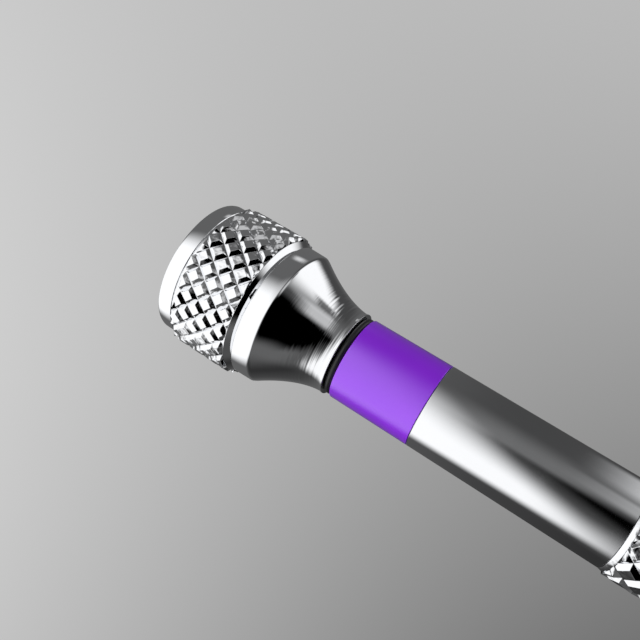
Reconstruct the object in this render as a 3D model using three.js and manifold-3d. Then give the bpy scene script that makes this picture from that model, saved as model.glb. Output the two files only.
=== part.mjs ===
// Twist-to-open safety razor with a knurled knob, standing on the knob's end face.
// Millimetres, +Z runs from the knob to the head, the blade would lie along X.

import * as THREE from 'three';
import { mergeVertices } from 'three/addons/utils/BufferGeometryUtils.js';
import Module from 'manifold-3d';

const wasm = await Module();
wasm.setup();

// ---------------------------------------------------------------- driving dimensions

// Fits. A seam is the hairline between two pieces screwed or pressed together.
const seam = 0.05;
const seat = 0.02;
const pressClearance = 0.05;
const runningClearance = 0.1;

// Twist knob and its end cap.
const capRadius = 7.6;
const capRimHeight = 1.8;
const capEdgeRadius = 0.25;
const knobWall = 2.1;
const capSpigotWall = 1.3;
const capSpigotHeight = 2.8;
const knobPlainBand = 0.3;
const knobKnurlLength = 6.95;
const knobGrooveDepth = 0.4;
const knobGrooveWidth = 0.58;
const knobRingWidth = 1.85;
const knobTaperLength = 7.17;
const neckStandOut = 0.1;
const knobTaperPower = 1.65;
const knobWebThickness = 2.5;

// Diamond knurl. The grip is cut with a coarser pair of wheels than the knob.
const knobKnurlDiagonal = 2.15;
const gripKnurlDiagonal = 2.8;
const knobKnurlDepth = 0.57;
const gripKnurlDepth = 0.45;
const gripRootDrop = 0.1;

// Handle.
const tubeRadius = 4.5;
const tubeWall = 1.2;
const tubeStep = 0.55;
const sealInset = 0.15;
const sealThickness = 0.8;
const sealEdge = 0.12;
const bandLength = 8.95;
const plainTubeLength = 20.1;
const gripLength = 34;
const gripChamfer = 0.5;

// Drive inside the handle.
const spindleRadius = 2.55;
const flangeClearance = 0.2;
const spindleFlangeThickness = 1.2;
const bushLength = 5.8;
const washerThickness = 0.5;
const driveThreadRadius = 1.75;
const driveThreadLength = 14;
const knobScrewRadius = 1;
const knobScrewHeadRadius = 2.3;
const knobScrewHeadHeight = 1.6;
const knobScrewReach = 4.5;
const nutStart = 4;
const rodFootGap = 0.6;
const nutTopWall = 3.5;
const rodRadius = 1.5;
const yokeScrewRadius = 0.7;
const yokeScrewReach = 3;

// Collar under the head.
const collarHeight = 9.6;
const collarFlangeRadius = 7;
const collarFlangeThickness = 1.2;
const collarWaistInset = 0.4;
const collarPlainHeight = 1.92;
const collarFlareStart = 2.88;
const collarSpigotLength = 6;
const collarBossRadius = 3.4;

// Head.
const plateEndInset = 2.2;
const plateSideReach = 1.3;
const plateThickness = 1.2;
const plateTabWidth = 10;
const plateTabGap = 0.1;
const lipWidth = 0.8;
const lipHeight = 1;
const drainCount = 7;
const drainLength = 3.4;
const drainWidth = 1.6;
const drainInset = 2.05;
const ledgeInset = 1.8;
const ledgeWidth = 1;
const ledgeHeight = 3;
const barEndInset = 0.2;
const barWidth = 9;
const barWall = 0.8;
const barHeadroom = 0.12;
const studSpacing = 20;
const studRadius = 1;
const studHeadRadius = 1.8;
const studHeadThickness = 0.7;
const studStandOut = 0.9;

// Doors and the yoke that swings them.
const doorLength = 41.4;
const doorThickness = 0.9;
const doorHalfWidth = 10.9;
const doorCrownDrop = 4.3;
const doorCrownClearance = 1.7;
const doorGap = 0.3;
const earThickness = 0.8;
const earMargin = 0.5;
const hingeBossRadius = 1.3;
const hingeInset = 1.2;
const earTrim = 0.2;
const hingeHeight = 2.8;
const hingePinRadius = 0.5;
const hingePinHeadRadius = 0.85;
const hingePinHeadThickness = 0.35;
const bracketGap = 0.2;
const bracketThickness = 1;
const bracketFootReach = 4.5;
const bracketFootWidth = 9.2;
const rivetInset = 2.5;
const rivetMargin = 0.85;
const rivetRadius = 0.6;
const rivetHeadRadius = 1;
const rivetHeadThickness = 0.4;
const doorLever = 2;
const doorOpening = THREE.MathUtils.degToRad(80);
const yokeLift = 2.1;
const yokeThickness = 1.25;
const yokeFloorGap = 0.15;
const yokeBarWidth = 4;
const yokeArmThickness = 1;
const yokeArmWidth = 1.2;
const yokeScrewHeadRadius = 1.6;
const yokeScrewHeadHeight = 0.38;
const driverSlotWidth = 0.5;
const driverSlotDepth = 0.6;
const yokeScrewSlotDepth = 0.2;

// Smoothness of round pieces, in steps to the circle or to the stretch.
const roundSteps = 32;
const smallSteps = 12;
const capEdgeSteps = 4;
const taperSteps = 7;
const flareSteps = 5;
const drainEndSteps = 6;
const bossSteps = 10;
const doorArcSteps = 16;
const earCornerSteps = 5;
const slotSteps = 5;

// How far a cutter stands out of what it cuts, and two joined shapes reach into each other.
const cutReach = 1;
const weldReach = 0.1;

// ---------------------------------------------------------------- radii and widths

const capSpigotRadius = capRadius - knobWall;
const knobNeckRadius = tubeRadius + neckStandOut;
const tubeBoreRadius = tubeRadius - tubeWall;
const tubeSpigotRadius = tubeRadius - tubeStep;
const sealRadius = tubeRadius - sealInset;
const spindleFlangeRadius = tubeBoreRadius - flangeClearance;
const collarWaistRadius = tubeRadius - collarWaistInset;
const collarSpigotRadius = tubeBoreRadius - runningClearance;
const hingeOffset = doorHalfWidth - hingeInset;
const plateLength = doorLength - 2 * plateEndInset;
const plateWidth = 2 * (doorHalfWidth + plateSideReach);
const drainRow = plateWidth / 2 - drainInset;
const ledgeCentre = hingeOffset - ledgeInset;
const barLength = plateLength - 2 * barEndInset;
const rivetRow = plateLength / 2 - rivetInset;
const rivetOffset = barWidth / 2 - barWall - rivetMargin;
const bracketFootInner = plateLength / 2 - bracketFootReach;

// ---------------------------------------------------------------- heights along the handle

const knobBottom = capRimHeight + seam;
const knobKnurlBottom = knobBottom + knobPlainBand;
const knobKnurlTop = knobKnurlBottom + knobKnurlLength;
const knobGrooveTop = knobKnurlTop + knobGrooveWidth;
const knobRingTop = knobGrooveTop + knobRingWidth;
const knobTop = knobRingTop + knobTaperLength;
const webBottom = knobBottom + capSpigotHeight + seam;
const webTop = webBottom + knobWebThickness;
const sealBottom = knobTop + seam;
const sealTop = sealBottom + sealThickness;
const tubeBottom = sealTop + seam;
const bandTop = tubeBottom + bandLength;
const bandShoulder = bandTop + seam;
const gripShoulder = bandShoulder + plainTubeLength;
const gripBottom = gripShoulder + seat;
const gripTop = gripBottom + gripLength;
const collarBottom = gripTop + seam;
const plateBottom = collarBottom + collarHeight + seat;
const plateTop = plateBottom + plateThickness;
const barBottom = plateTop + seat;
const washerBottom = tubeBottom + bushLength + seam;
const flangeBottom = washerBottom + washerThickness + seam;
const flangeTop = flangeBottom + spindleFlangeThickness;
const threadTop = flangeTop + driveThreadLength;
const nutBottom = flangeTop + nutStart;
const rodBottom = threadTop + rodFootGap;
const nutTop = rodBottom + nutTopWall;
const yokeBottom = plateTop + yokeFloorGap;
const yokeTop = yokeBottom + yokeThickness;
const rodTop = yokeBottom - seat;
const yokeScrewTop = yokeTop + seat + yokeScrewHeadHeight;
const barTop = yokeScrewTop + yokeLift + barHeadroom + barWall;
const hingeLevel = plateTop + hingeHeight;

// Places along the head's length, outwards from the middle.
const doorEnd = doorLength / 2;
const earInner = doorEnd - earThickness;
const armOuter = earInner - bracketGap;
const armInner = armOuter - yokeArmThickness;
const bracketInner = doorEnd + bracketGap;
const bracketOuter = bracketInner + bracketThickness;
const plateTabReach = bracketInner - plateTabGap;
const liftPinOffset = hingeOffset - doorLever;

// The doors' arched section: one arc over both, with its middle above the blade bar.
const crownTop = barTop + doorCrownClearance + doorThickness;
const crownRadius = (doorHalfWidth ** 2 + doorCrownDrop ** 2) / (2 * doorCrownDrop);
const crownCentre = crownTop - crownRadius;

// ---------------------------------------------------------------- materials

const chrome = { color: 0xe2e4e8, roughness: 0.08, metalness: 1 };
const steel = { color: 0xb9bcc0, roughness: 0.3, metalness: 1 };
const brass = { color: 0xc9a24c, roughness: 0.3, metalness: 1 };
const rubber = { color: 0x141416, roughness: 0.55, metalness: 0 };
const lacquer = { color: 0x7a22cf, roughness: 0.3, metalness: 0.6 };

// ---------------------------------------------------------------- shape helpers

const group = new THREE.Group();

function piece(name, geometry, finish) {
  const mesh = new THREE.Mesh(geometry, new THREE.MeshStandardMaterial(finish));
  mesh.name = name;
  group.add(mesh);
  return mesh;
}

// A turned piece. The profile lists [radius, height] up the outside and down the inside.
function turned(profile, steps = roundSteps) {
  const points = profile.map(([radius, height]) => new THREE.Vector2(radius, height));
  return new THREE.LatheGeometry(points, steps).rotateX(Math.PI / 2);
}

// A ring or, with no bore, a disc.
function ring(outer, inner, bottom, top, steps = roundSteps) {
  const profile = [[inner, bottom], [outer, bottom], [outer, top], [inner, top]];
  if (inner > 0) profile.push([inner, bottom]);
  return turned(profile, steps);
}

// A turned piece whose rows from firstRow to lastRow are knurled: every second point
// round each row is raised, and each facet is split along the valley.
function turnedKnurled(profile, firstRow, lastRow, depth, steps) {
  const points = profile.map(([radius, height]) => new THREE.Vector2(radius, height));
  const lathe = new THREE.LatheGeometry(points, steps);
  const position = lathe.attributes.position;
  const index = lathe.index.array;
  const rows = points.length;
  for (let column = 0; column <= steps; column += 1) {
    for (let row = firstRow; row <= lastRow; row += 1) {
      if ((column + row) % 2 === 0) continue;
      const vertex = column * rows + row;
      const grow = 1 + depth / points[row].x;
      position.setX(vertex, position.getX(vertex) * grow);
      position.setZ(vertex, position.getZ(vertex) * grow);
    }
  }
  for (let column = 0; column < steps; column += 1) {
    for (let row = firstRow - 1; row <= lastRow; row += 1) {
      if ((column + row) % 2 !== 0) continue;
      const a = column * rows + row;
      const b = a + rows;
      index.set([a, b, b + 1, a, b + 1, a + 1], 6 * (column * (rows - 1) + row));
    }
  }
  return lathe.rotateX(Math.PI / 2);
}

// Evenly spaced rows between two heights, for the knurled stretch of a profile.
function knurlRows(radius, bottom, top, diagonal) {
  const count = 2 * Math.round((top - bottom) / diagonal);
  const rows = [];
  for (let row = 0; row <= count; row += 1) {
    rows.push([radius, bottom + ((top - bottom) * row) / count]);
  }
  return rows;
}

// Two columns to every diamond round the circumference.
function knurlSteps(crestRadius, diagonal) {
  return 2 * Math.round((2 * Math.PI * crestRadius) / diagonal);
}

function shape(points) {
  return new THREE.Shape(points.map(([across, up]) => new THREE.Vector2(across, up)));
}

// Points on a circular arc, angles in degrees.
function arc(across, up, radius, from, to, count) {
  const points = [];
  for (let step = 0; step <= count; step += 1) {
    const angle = THREE.MathUtils.degToRad(from + ((to - from) * step) / count);
    points.push([across + radius * Math.cos(angle), up + radius * Math.sin(angle)]);
  }
  return points;
}

// A section drawn in [y, z] and drawn out along X.
function alongX(section, start, end) {
  const geometry = new THREE.ExtrudeGeometry(section, { depth: end - start, bevelEnabled: false });
  const turn = new THREE.Matrix4().makeBasis(
    new THREE.Vector3(0, 1, 0),
    new THREE.Vector3(0, 0, 1),
    new THREE.Vector3(1, 0, 0),
  );
  return geometry.applyMatrix4(turn).translate(start, 0, 0);
}

// An outline drawn in [x, y] and drawn out along Z.
function upwards(outline, bottom, top) {
  const geometry = new THREE.ExtrudeGeometry(outline, { depth: top - bottom, bevelEnabled: false });
  return geometry.translate(0, 0, bottom);
}

function box(x0, x1, y0, y1, z0, z1) {
  const geometry = new THREE.BoxGeometry(x1 - x0, y1 - y0, z1 - z0);
  return geometry.translate((x0 + x1) / 2, (y0 + y1) / 2, (z0 + z1) / 2);
}

// A round bar along X.
function rodX(radius, start, end, y, z, steps = smallSteps) {
  const geometry = new THREE.CylinderGeometry(radius, radius, end - start, steps);
  return geometry.rotateZ(-Math.PI / 2).translate((start + end) / 2, y, z);
}

// A round bar along Z.
function rodZ(radius, bottom, top, x, y, steps = smallSteps) {
  const geometry = new THREE.CylinderGeometry(radius, radius, top - bottom, steps);
  return geometry.rotateX(Math.PI / 2).translate(x, y, (bottom + top) / 2);
}

function solid(geometry) {
  const bare = new THREE.BufferGeometry();
  bare.setAttribute('position', geometry.attributes.position);
  if (geometry.index) bare.setIndex(geometry.index);
  const merged = mergeVertices(bare, 1e-4);
  const corners = [];
  const index = merged.index.array;
  for (let i = 0; i < index.length; i += 3) {
    const [a, b, c] = [index[i], index[i + 1], index[i + 2]];
    if (a !== b && b !== c && c !== a) corners.push(a, b, c);
  }
  return new wasm.Manifold(new wasm.Mesh({
    numProp: 3,
    vertProperties: new Float32Array(merged.attributes.position.array),
    triVerts: new Uint32Array(corners),
  }));
}

// The first list added together, with the second list cut away.
function joined(added, cut = []) {
  let body = solid(added[0]);
  for (const geometry of added.slice(1)) body = body.add(solid(geometry));
  for (const geometry of cut) body = body.subtract(solid(geometry));
  const mesh = body.getMesh();
  const geometry = new THREE.BufferGeometry();
  geometry.setAttribute('position', new THREE.BufferAttribute(mesh.vertProperties, 3));
  geometry.setIndex(new THREE.BufferAttribute(mesh.triVerts, 1));
  return geometry;
}

// ---------------------------------------------------------------- twist knob

// The cap closes the knob's hollow end with a short ring-shaped spigot.
function knobEndCap() {
  const edge = arc(capRadius - capEdgeRadius, capEdgeRadius, capEdgeRadius, -90, 0, capEdgeSteps);
  const spigotTop = capRimHeight + capSpigotHeight;
  piece('knob_end_cap', turned([
    [0, 0],
    ...edge,
    [capRadius, capRimHeight],
    [capSpigotRadius, capRimHeight],
    [capSpigotRadius, spigotTop],
    [capSpigotRadius - capSpigotWall, spigotTop],
    [capSpigotRadius - capSpigotWall, capRimHeight],
    [0, capRimHeight],
  ]), chrome);
}

function twistKnob() {
  const crest = capRadius + knobKnurlDepth;
  const groove = capRadius - knobGrooveDepth;
  const mouth = capSpigotRadius + pressClearance;
  const bore = spindleRadius + pressClearance;
  const screwHole = knobScrewRadius + runningClearance;
  const lower = [[mouth, knobBottom], [capRadius, knobBottom]];
  const rows = knurlRows(capRadius, knobKnurlBottom, knobKnurlTop, knobKnurlDiagonal);
  const taper = [];
  for (let step = 0; step <= taperSteps; step += 1) {
    const along = step / taperSteps;
    const radius = knobNeckRadius + (capRadius - knobNeckRadius) * (1 - along) ** knobTaperPower;
    taper.push([radius, knobRingTop + knobTaperLength * along]);
  }
  const profile = [
    ...lower,
    ...rows,
    [groove, knobKnurlTop],
    [groove, knobGrooveTop],
    [capRadius, knobGrooveTop],
    ...taper,
    [bore, knobTop],
    [bore, webTop],
    [screwHole, webTop],
    [screwHole, webBottom],
    [mouth, webBottom],
    [mouth, knobBottom],
  ];
  const firstRow = lower.length + 1;
  const lastRow = lower.length + rows.length - 2;
  const steps = knurlSteps(crest, knobKnurlDiagonal);
  const geometry = turnedKnurled(profile, firstRow, lastRow, knobKnurlDepth, steps);
  piece('twist_knob', geometry, chrome);
}

// Holds the knob on the spindle from below, hidden by the end cap.
function knobScrew() {
  const headTop = webBottom - seat;
  const headBottom = headTop - knobScrewHeadHeight;
  const screw = turned([
    [0, headBottom],
    [knobScrewHeadRadius, headBottom],
    [knobScrewHeadRadius, headTop],
    [knobScrewRadius, headTop],
    [knobScrewRadius, webTop + knobScrewReach],
    [0, webTop + knobScrewReach],
  ], smallSteps);
  const slot = box(
    -knobScrewHeadRadius - cutReach, knobScrewHeadRadius + cutReach,
    -driverSlotWidth / 2, driverSlotWidth / 2,
    headBottom - cutReach, headBottom + driverSlotDepth,
  );
  piece('knob_screw', joined([screw], [slot]), steel);
}

// ---------------------------------------------------------------- drive inside the handle

// Foot in the knob, bearing in the bush, thrust flange, then the lifting thread.
function driveScrew() {
  const tapped = knobScrewRadius + pressClearance;
  piece('drive_screw', turned([
    [tapped, webTop + seam],
    [spindleRadius, webTop + seam],
    [spindleRadius, flangeBottom],
    [spindleFlangeRadius, flangeBottom],
    [spindleFlangeRadius, flangeTop],
    [driveThreadRadius, flangeTop],
    [driveThreadRadius, threadTop],
    [0, threadTop],
    [0, webTop + knobScrewReach + seam],
    [tapped, webTop + knobScrewReach + seam],
    [tapped, webTop + seam],
  ]), steel);
}

function spindleBearing() {
  const bushRadius = tubeBoreRadius - pressClearance;
  const bore = spindleRadius + runningClearance;
  piece('spindle_bush', ring(bushRadius, bore, tubeBottom, tubeBottom + bushLength), brass);
  const washerTop = washerBottom + washerThickness;
  piece('thrust_washer', ring(spindleFlangeRadius, bore, washerBottom, washerTop), brass);
}

// The nut rides up the drive screw and carries the lift rod.
function lifter() {
  const nutRadius = tubeBoreRadius - runningClearance;
  const threadBore = driveThreadRadius + runningClearance;
  const rodBore = rodRadius + pressClearance;
  piece('lift_nut', turned([
    [threadBore, nutBottom],
    [nutRadius, nutBottom],
    [nutRadius, nutTop],
    [rodBore, nutTop],
    [rodBore, rodBottom],
    [threadBore, rodBottom],
    [threadBore, nutBottom],
  ]), brass);
  const tapped = yokeScrewRadius + pressClearance;
  const tappedBottom = yokeTop - yokeScrewReach - yokeThickness - seam;
  piece('lift_rod', turned([
    [0, rodBottom + seam],
    [rodRadius, rodBottom + seam],
    [rodRadius, rodTop],
    [tapped, rodTop],
    [tapped, tappedBottom],
    [0, tappedBottom],
  ], smallSteps), steel);
}

// ---------------------------------------------------------------- handle

function sealAndBand() {
  const middle = (sealBottom + sealTop) / 2;
  const bore = spindleRadius + runningClearance;
  piece('seal_ring', turned([
    [bore, sealBottom],
    [sealRadius - sealEdge, sealBottom],
    [sealRadius, middle - sealEdge],
    [sealRadius, middle + sealEdge],
    [sealRadius - sealEdge, sealTop],
    [bore, sealTop],
    [bore, sealBottom],
  ]), rubber);
  const bandBore = tubeSpigotRadius + pressClearance;
  piece('colour_band', ring(tubeRadius, bandBore, tubeBottom, bandTop), lacquer);
}

// One tube, turned down at both ends for the colour band and for the grip sleeve.
function handleTube() {
  piece('handle_tube', turned([
    [tubeBoreRadius, tubeBottom],
    [tubeSpigotRadius, tubeBottom],
    [tubeSpigotRadius, bandShoulder],
    [tubeRadius, bandShoulder],
    [tubeRadius, gripShoulder],
    [tubeSpigotRadius, gripShoulder],
    [tubeSpigotRadius, gripTop],
    [tubeBoreRadius, gripTop],
    [tubeBoreRadius, tubeBottom],
  ]), chrome);
}

function gripSleeve() {
  const root = tubeRadius - gripRootDrop;
  const crest = root + gripKnurlDepth;
  const bore = tubeSpigotRadius + runningClearance;
  const lower = [[bore, gripBottom], [root, gripBottom]];
  const rows = knurlRows(root, gripBottom + gripChamfer, gripTop - gripChamfer, gripKnurlDiagonal);
  const profile = [...lower, ...rows, [root, gripTop], [bore, gripTop], [bore, gripBottom]];
  const firstRow = lower.length + 1;
  const lastRow = lower.length + rows.length - 2;
  const steps = knurlSteps(crest, gripKnurlDiagonal);
  const geometry = turnedKnurled(profile, firstRow, lastRow, gripKnurlDepth, steps);
  piece('grip_sleeve', geometry, chrome);
}

// Plugs the tube's top end and flares out to carry the head.
function headCollar() {
  const top = plateBottom - seat;
  const flangeBottomLevel = top - collarFlangeThickness;
  const flareBottom = collarBottom + collarFlareStart;
  const flare = [];
  for (let step = 0; step <= flareSteps; step += 1) {
    const along = step / flareSteps;
    const radius = collarWaistRadius + (collarFlangeRadius - collarWaistRadius) * along ** 2;
    flare.push([radius, flareBottom + (flangeBottomLevel - flareBottom) * along]);
  }
  const bore = rodRadius + runningClearance;
  piece('head_collar', turned([
    [bore, collarBottom - collarSpigotLength],
    [collarSpigotRadius, collarBottom - collarSpigotLength],
    [collarSpigotRadius, collarBottom],
    [tubeRadius, collarBottom],
    [tubeRadius, collarBottom + collarPlainHeight],
    ...flare,
    [collarFlangeRadius, top],
    [collarBossRadius, top],
    [collarBossRadius, plateTop],
    [bore, plateTop],
    [bore, collarBottom - collarSpigotLength],
  ]), chrome);
}

// ---------------------------------------------------------------- head

// Guard plate: safety lips, a row of drain slots along each lip, and two blade ledges.
function basePlate() {
  const halfLength = plateLength / 2;
  const halfWidth = plateWidth / 2;
  const halfTab = plateTabWidth / 2;
  const outline = shape([
    [-halfLength, -halfWidth], [halfLength, -halfWidth],
    [halfLength, -halfTab], [plateTabReach, -halfTab],
    [plateTabReach, halfTab], [halfLength, halfTab],
    [halfLength, halfWidth], [-halfLength, halfWidth],
    [-halfLength, halfTab], [-plateTabReach, halfTab],
    [-plateTabReach, -halfTab], [-halfLength, -halfTab],
  ]);
  const pitch = plateLength / drainCount;
  const straight = (drainLength - drainWidth) / 2;
  for (const side of [-1, 1]) {
    for (let slot = 0; slot < drainCount; slot += 1) {
      const x = -halfLength + pitch * (slot + 0.5);
      const y = side * drainRow;
      outline.holes.push(shape([
        ...arc(x + straight, y, drainWidth / 2, -90, 90, drainEndSteps),
        ...arc(x - straight, y, drainWidth / 2, 90, 270, drainEndSteps),
      ]));
    }
  }
  const parts = [upwards(outline, plateBottom, plateTop)];
  for (const side of [-1, 1]) {
    const lipCentre = side * (halfWidth - lipWidth / 2);
    parts.push(box(
      -halfLength, halfLength,
      lipCentre - lipWidth / 2, lipCentre + lipWidth / 2,
      plateBottom, plateTop + lipHeight,
    ));
    const ledge = side * ledgeCentre;
    parts.push(box(
      -barLength / 2, barLength / 2,
      ledge - ledgeWidth / 2, ledge + ledgeWidth / 2,
      plateBottom, plateTop + ledgeHeight,
    ));
  }
  const [below, above] = [plateBottom - cutReach, plateTop + cutReach];
  const cuts = [rodZ(collarBossRadius + pressClearance, below, above, 0, 0, roundSteps)];
  for (const side of [-1, 1]) {
    cuts.push(rodZ(studRadius + pressClearance, below, above, (side * studSpacing) / 2, 0));
    for (const across of [-1, 1]) {
      const rivetHole = rivetRadius + pressClearance;
      cuts.push(rodZ(rivetHole, below, above, side * rivetRow, across * rivetOffset));
    }
  }
  piece('base_plate', joined(parts, cuts), chrome);
}

// An upturned channel that the blade lies on. The yoke rises inside it.
function bladeBar() {
  const half = barWidth / 2;
  const inner = half - barWall;
  const ceiling = barTop - barWall;
  const section = shape([
    [-half, barBottom], [-inner, barBottom], [-inner, ceiling], [inner, ceiling],
    [inner, barBottom], [half, barBottom], [half, barTop], [-half, barTop],
  ]);
  const cuts = [-1, 1].map((side) => rodZ(
    studRadius + pressClearance, ceiling - cutReach, barTop + cutReach, (side * studSpacing) / 2, 0,
  ));
  piece('blade_bar', joined([alongX(section, -barLength / 2, barLength / 2)], cuts), chrome);
}

// Studs tie the bar to the plate, guide the yoke and locate the blade's holes.
function bladeStuds() {
  const headTop = plateBottom - seat;
  for (const [name, side] of [['left', -1], ['right', 1]]) {
    const stud = turned([
      [0, headTop - studHeadThickness],
      [studHeadRadius, headTop - studHeadThickness],
      [studHeadRadius, headTop],
      [studRadius, headTop],
      [studRadius, barTop + studStandOut],
      [0, barTop + studStandOut],
    ], smallSteps);
    piece(`blade_stud_${name}`, stud.translate((side * studSpacing) / 2, 0, 0), steel);
  }
}

// A bracket at each end of the plate carries the two door hinge pins.
function endBrackets() {
  const footTop = plateBottom - seat;
  const footBottom = footTop - bracketThickness;
  const half = bracketFootWidth / 2;
  const bridgeTop = hingeLevel + hingeBossRadius / 2;
  const outline = shape([
    [-half, footBottom], [half, footBottom], [half, plateTop],
    ...arc(hingeOffset, hingeLevel, hingeBossRadius, -100, 100, bossSteps),
    [half, bridgeTop], [-half, bridgeTop],
    ...arc(-hingeOffset, hingeLevel, hingeBossRadius, 80, 280, bossSteps),
    [-half, plateTop],
  ]);
  for (const [name, side] of [['left', -1], ['right', 1]]) {
    const plate = side > 0
      ? alongX(outline, bracketInner, bracketOuter)
      : alongX(outline, -bracketOuter, -bracketInner);
    const [inner, outer] = [bracketFootInner, bracketInner + bracketThickness / 2];
    const foot = side > 0
      ? box(inner, outer, -half, half, footBottom, footTop)
      : box(-outer, -inner, -half, half, footBottom, footTop);
    const cuts = [];
    for (const across of [-1, 1]) {
      const reach = bracketOuter + cutReach;
      const hole = hingePinRadius + seat;
      cuts.push(side > 0
        ? rodX(hole, doorEnd, reach, across * hingeOffset, hingeLevel)
        : rodX(hole, -reach, -doorEnd, across * hingeOffset, hingeLevel));
      const rivetHole = rivetRadius + pressClearance;
      const [below, above] = [footBottom - cutReach, footTop + cutReach];
      cuts.push(rodZ(rivetHole, below, above, side * rivetRow, across * rivetOffset));
    }
    piece(`end_bracket_${name}`, joined([plate, foot], cuts), chrome);
  }
}

function bracketRivets() {
  const headTop = plateBottom - bracketThickness - 2 * seat;
  for (const [name, side] of [['left', -1], ['right', 1]]) {
    for (const [place, across] of [['back', -1], ['front', 1]]) {
      const rivet = turned([
        [0, headTop - rivetHeadThickness],
        [rivetHeadRadius, headTop - rivetHeadThickness],
        [rivetHeadRadius, headTop],
        [rivetRadius, headTop],
        [rivetRadius, plateTop],
        [0, plateTop],
      ], smallSteps);
      rivet.translate(side * rivetRow, across * rivetOffset, 0);
      piece(`bracket_rivet_${name}_${place}`, rivet, steel);
    }
  }
}

function hingePins() {
  const headInner = bracketOuter + seat;
  for (const [name, side] of [['left', -1], ['right', 1]]) {
    for (const [place, across] of [['back', -1], ['front', 1]]) {
      const pin = turned([
        [0, earInner + seam],
        [hingePinRadius, earInner + seam],
        [hingePinRadius, headInner],
        [hingePinHeadRadius, headInner],
        [hingePinHeadRadius, headInner + hingePinHeadThickness],
        [0, headInner + hingePinHeadThickness],
      ], smallSteps);
      pin.rotateY((side * Math.PI) / 2).translate(0, across * hingeOffset, hingeLevel);
      piece(`hinge_pin_${name}_${place}`, pin, steel);
    }
  }
}

// ---------------------------------------------------------------- yoke and doors

// Where the lift pin sits, seen from a door turned by the given angle,
// measured across and up from the door's hinge.
function pinInDoor(angle) {
  const rise = (yokeLift * angle) / doorOpening;
  const [across, up] = [-doorLever, rise];
  const cos = Math.cos(angle);
  const sin = Math.sin(angle);
  return [across * cos - up * sin, across * sin + up * cos];
}

function liftYoke() {
  const pinLevel = hingeLevel;
  const armOuterSide = liftPinOffset + yokeArmWidth / 2;
  const armInnerSide = liftPinOffset - yokeArmWidth / 2;
  const armTop = pinLevel + yokeArmWidth / 2;
  const section = shape([
    [-armOuterSide, yokeBottom], [armOuterSide, yokeBottom], [armOuterSide, armTop],
    [armInnerSide, armTop], [armInnerSide, yokeTop], [-armInnerSide, yokeTop],
    [-armInnerSide, armTop], [-armOuterSide, armTop],
  ]);
  const halfBar = yokeBarWidth / 2;
  const parts = [
    box(-armInner - weldReach, armInner + weldReach, -halfBar, halfBar, yokeBottom, yokeTop),
    alongX(section, armInner, armOuter),
    alongX(section, -armOuter, -armInner),
  ];
  const [below, above] = [yokeBottom - cutReach, yokeTop + cutReach];
  const cuts = [rodZ(yokeScrewRadius + pressClearance, below, above, 0, 0)];
  for (const side of [-1, 1]) {
    const guide = studRadius + runningClearance;
    cuts.push(rodZ(guide, below, above, (side * studSpacing) / 2, 0));
    for (const across of [-1, 1]) {
      const [start, end] = side > 0
        ? [armInner - cutReach, armOuter + cutReach]
        : [-armOuter - cutReach, -armInner + cutReach];
      cuts.push(rodX(hingePinRadius + seat, start, end, across * liftPinOffset, pinLevel));
    }
  }
  piece('lift_yoke', joined(parts, cuts), steel);

  const headBottom = yokeTop + seat;
  const screw = turned([
    [0, yokeTop - yokeScrewReach - yokeThickness],
    [yokeScrewRadius, yokeTop - yokeScrewReach - yokeThickness],
    [yokeScrewRadius, headBottom],
    [yokeScrewHeadRadius, headBottom],
    [yokeScrewHeadRadius, yokeScrewTop],
    [0, yokeScrewTop],
  ], smallSteps);
  const slotFloor = yokeScrewTop - yokeScrewSlotDepth;
  const slot = box(
    -yokeScrewHeadRadius - cutReach, yokeScrewHeadRadius + cutReach,
    -driverSlotWidth / 2, driverSlotWidth / 2,
    slotFloor, slotFloor + cutReach,
  );
  piece('yoke_screw', joined([screw], [slot]), steel);

  for (const [name, side] of [['left', -1], ['right', 1]]) {
    for (const [place, across] of [['back', -1], ['front', 1]]) {
      const [start, end] = side > 0
        ? [armInner, doorEnd + seam]
        : [-doorEnd - seam, -armInner];
      const pin = rodX(hingePinRadius, start, end, across * liftPinOffset, pinLevel);
      piece(`lift_pin_${name}_${place}`, pin, steel);
    }
  }
}

// A curved slot of constant width along a path, with round ends.
function slotOutline(path, halfWidth) {
  const last = path.length - 1;
  const heading = (i) => {
    const [before, after] = [path[Math.max(i - 1, 0)], path[Math.min(i + 1, last)]];
    return THREE.MathUtils.radToDeg(Math.atan2(after[1] - before[1], after[0] - before[0]));
  };
  const beside = (i, turn) => {
    const angle = THREE.MathUtils.degToRad(heading(i) + turn);
    return [path[i][0] + halfWidth * Math.cos(angle), path[i][1] + halfWidth * Math.sin(angle)];
  };
  const left = [];
  const right = [];
  for (let i = 1; i < last; i += 1) {
    left.push(beside(i, 90));
    right.push(beside(i, -90));
  }
  return shape([
    ...left,
    ...arc(path[last][0], path[last][1], halfWidth, heading(last) + 90, heading(last) - 90, slotSteps),
    ...right.reverse(),
    ...arc(path[0][0], path[0][1], halfWidth, heading(0) - 90, heading(0) - 270, slotSteps),
  ]);
}

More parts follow.
